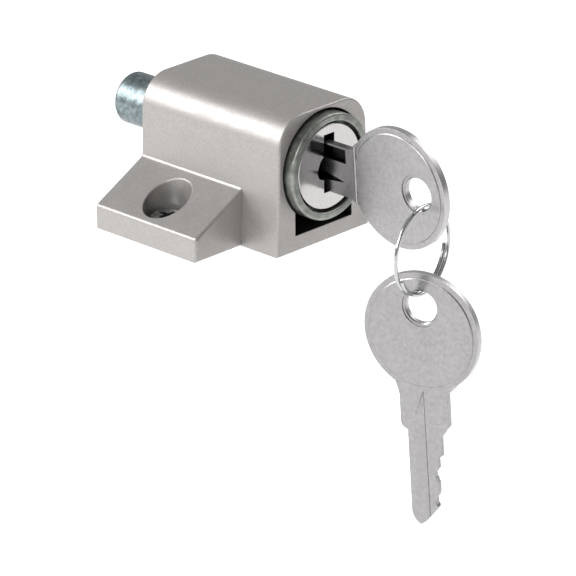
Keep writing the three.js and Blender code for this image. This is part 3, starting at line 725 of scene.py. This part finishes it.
def key_plateau(place):
    """The raised middle of the bow, with a sunken ring round the hole on both faces."""
    top = HALF_KEY + PLATEAU_RISE
    chord = math.degrees(math.acos(PLATEAU_END / PLATEAU_R))
    raised = arc(0, 0, PLATEAU_R, chord, 360 - chord, 96)
    rise = [(PLATEAU_EDGE, -top), (0, -top + 0.12), (0, top - 0.12), (PLATEAU_EDGE, top)]
    plateau = lofted("plateau", raised, rise, place)
    sunken = circle(*KEY_HOLE, KEY_HOLE_R + SUNKEN_WIDTH)
    for side in (-1, 1):
        ends = sorted((side * HALF_KEY, side * (top + 1)))
        combine(plateau, "DIFFERENCE", prism("sink", sunken, *ends, place))
    return plateau


def key_ridge(place):
    """The ridge across the neck, which stands well out of the far face and barely out of the near one."""
    top = HALF_KEY + PLATEAU_RISE
    crest = [(0.26, -top - 0.12), (0.04, -top), (0, 0.1 - top), (0, top - 0.15)]
    return lofted("ridge", RIDGE, crest, place)


def key_hole(place):
    """The ring's hole, wider at both faces."""
    beyond = 0.23
    side = [(-HOLE_CHAMFER - beyond, -HALF_KEY - beyond), (0, HOLE_CHAMFER - HALF_KEY)]
    steps = side + [(inwards, -distance) for inwards, distance in reversed(side)]
    return lofted("hole", circle(*KEY_HOLE, KEY_HOLE_R), steps, place)


def near_groove(place):
    """The near face's wide groove, whose floor slopes across the blade."""
    def lift(across, out, along):
        return place(along, across, out)

    groove = prism("near_groove", NEAR_GROOVE, HALF_KEY - 1, HALF_KEY + 1, place)
    floor_line = [(-2.6, HALF_KEY), (0.2, HALF_KEY - 0.4)]
    section = floor_line + [(0.2, HALF_KEY + 2), (-2.6, HALF_KEY + 2)]
    return combine(groove, "INTERSECT", prism("slope", section, 5, 60, lift))


def key(node, body_name):
    along, across, centre = key_axes(node)
    out = along.cross(across)

    def place(u, v, distance):
        return tuple(centre + along * u + across * v + out * distance)

    body = key_blank(node + "_blank", place)
    combine(body, "UNION", key_plateau(place), key_ridge(place))
    combine(
        body, "DIFFERENCE",
        key_hole(place),
        near_groove(place),
        prism("near_slot", NEAR_SLOT, HALF_KEY - 0.6, HALF_KEY + 1.3, place),
        prism("wedge_groove", WEDGE_GROOVE, -HALF_KEY - 1.2, 0.35 - HALF_KEY, place),
        prism("neck_groove", NECK_GROOVE, -HALF_KEY - 1.1, 0.85 - HALF_KEY, place),
        prism("far_groove", FAR_GROOVE, -HALF_KEY - 1.5, 0.45 - HALF_KEY, place),
    )
    smooth(body, 28)
    fit(body, body_name, "key_nickel", node)


# ---- split ring and mounting screws ----

def split_ring():
    """One round wire on its helix, with flat ends that are softened."""
    turn = math.radians(RING_HEADING)
    across, out = Vector((math.cos(turn), math.sin(turn), 0)), Vector((math.sin(turn), -math.cos(turn), 0))
    up, centre = Vector((0, 0, 1)), Vector(RING_CENTRE)
    bm = bmesh.new()
    loops = []
    for i in range(RING_STEPS + 1):
        part = i / RING_STEPS
        angle = math.radians(RING_START) - 2 * math.pi * RING_TURNS * part
        radial = across * math.cos(angle) + up * math.sin(angle)
        middle = centre + radial * RING_R + out * RING_PITCH * RING_TURNS * (part - 0.5)
        radius = RING_WIRE / 2 * (WIRE_END if i in (0, RING_STEPS) else 1)
        spokes = [radial * math.cos(a) + out * math.sin(a) for a in full_turn(WIRE_SIDES)]
        loops.append([bm.verts.new(middle + spoke * radius) for spoke in spokes])
    skin(bm, loops)
    body = mesh_object("ring_wire", bm)
    smooth(body, 50)
    fit(body, "ring", "ring_steel", "split_ring")


def screw_profile():
    top = SCREW_SEAT + HEAD_HEIGHT
    shank = [(0, SHANK_LOW), (SHANK_POINT_R, SHANK_LOW), (SHANK_R, SHANK_POINT), (SHANK_R, SCREW_SEAT)]
    rim_z = SCREW_SEAT + HEAD_RIM
    head = [(HEAD_R - HEAD_FOOT, SCREW_SEAT), (HEAD_R, SCREW_SEAT + HEAD_FOOT), (HEAD_R, rim_z)]
    turns = [math.radians(15 * i) for i in range(1, 7)]
    crown = [(HEAD_R - HEAD_CROWN_IN * (1 - math.cos(a)), rim_z + HEAD_RIM * math.sin(a)) for a in turns]
    return shank + head + crown + [(0, top)]


def mounting_screw(side, name, node):
    body = turned(name, screw_profile(), side * HOLE_X, HOLE_Y, "Z", 64)
    x, y, top = side * HOLE_X, HOLE_Y, SCREW_SEAT + HEAD_HEIGHT
    for arm_x, arm_y in ((CROSS_REACH, CROSS_HALF), (CROSS_HALF, CROSS_REACH)):
        low, high = (x - arm_x, y - arm_y, top - CROSS_DEPTH), (x + arm_x, y + arm_y, top + 1)
        combine(body, "DIFFERENCE", block("cross_arm", low, high))
    smooth(body)
    fit(body, "case", "zinc_plate", node)


housing()
barrel()
bolt()
plug()
key("key", "key_in_lock")
key("spare_key", "hanging_key")
split_ring()
mounting_screw(-1, "screw_left", "mounting_screw_left")
mounting_screw(1, "screw_right", "mounting_screw_right")

slots = {subpart["node"]: subpart["material_slot"] for subpart in frame["record"]["subparts"]}
for name, obj in frame["nodes"].items():
    obj.data.materials.clear()
    obj.data.materials.append(MATERIALS[slots[name]])


# ---- camera, floor and lights ----

def camera():
    aim = Vector((-4.23, -18.32, -10.42)) * MM
    azimuth, elevation, roll = (math.radians(a) for a in (-45.607, 22.208, -0.504))
    flat = math.cos(elevation)
    back = Vector((math.sin(azimuth) * flat, -math.cos(azimuth) * flat, math.sin(elevation)))
    data = bpy.data.cameras.new("camera")
    data.lens, data.sensor_width = 313.5, 36
    data.clip_start, data.clip_end = 0.1, 20
    obj = bpy.data.objects.new("camera", data)
    bpy.context.scene.collection.objects.link(obj)
    obj.location = aim + back
    turn = (-back).to_track_quat("-Z", "Y").to_matrix().to_4x4() @ Matrix.Rotation(roll, 4, "Z")
    obj.rotation_mode = "QUATERNION"
    obj.rotation_quaternion = turn.to_quaternion()
    bpy.context.scene.camera = obj


def floor():
    bm = bmesh.new()
    bmesh.ops.create_grid(bm, x_segments=1, y_segments=1, size=3.0)
    mesh = bpy.data.meshes.new("floor")
    bm.to_mesh(mesh)
    bm.free()
    obj = bpy.data.objects.new("floor", mesh)
    bpy.context.scene.collection.objects.link(obj)
    obj.location.z = cad_low.z - 0.12
    finish = Finish("floor", (0.5, 0.5, 0.5), 0, 0.9)
    finish.shader.inputs["Emission Color"].default_value = (1, 1, 1, 1)
    finish.shader.inputs["Emission Strength"].default_value = 0.88
    obj.data.materials.append(finish.material)


def soft_light(name, location, size, power, target=(0, -0.02, 0)):
    data = bpy.data.lights.new(name, "AREA")
    data.shape = "RECTANGLE"
    data.size, data.size_y = size
    data.energy = power
    obj = bpy.data.objects.new(name, data)
    bpy.context.scene.collection.objects.link(obj)
    obj.location = location
    obj.rotation_mode = "QUATERNION"
    obj.rotation_quaternion = (Vector(target) - Vector(location)).to_track_quat("-Z", "Y")


def studio():
    """A soft room that is darker behind the camera, with three softboxes."""
    world = bpy.data.worlds.new("studio")
    world.use_nodes = True
    tree = world.node_tree
    coords = tree.nodes.new("ShaderNodeTexCoord")
    split = tree.nodes.new("ShaderNodeSeparateXYZ")
    spread = tree.nodes.new("ShaderNodeMapRange")
    for socket, value in (("From Min", -1), ("From Max", 1), ("To Min", 0.3), ("To Max", 0.6)):
        spread.inputs[socket].default_value = value
    tree.links.new(coords.outputs["Generated"], split.inputs[0])
    tree.links.new(split.outputs["Y"], spread.inputs["Value"])
    tree.links.new(spread.outputs["Result"], tree.nodes["Background"].inputs["Strength"])
    tree.nodes["Background"].inputs["Color"].default_value = (1, 1, 1, 1)
    bpy.context.scene.world = world
    soft_light("left", (-0.9, -0.1, 0.5), (0.5, 0.5), 4)
    soft_light("behind", (-0.68, 0.75, 0.53), (0.45, 0.7), 9.5)
    soft_light("right_above", (0.8, -0.25, 0.75), (0.8, 0.8), 5)
    bpy.context.scene.view_settings.view_transform = "Standard"


camera()
floor()
studio()
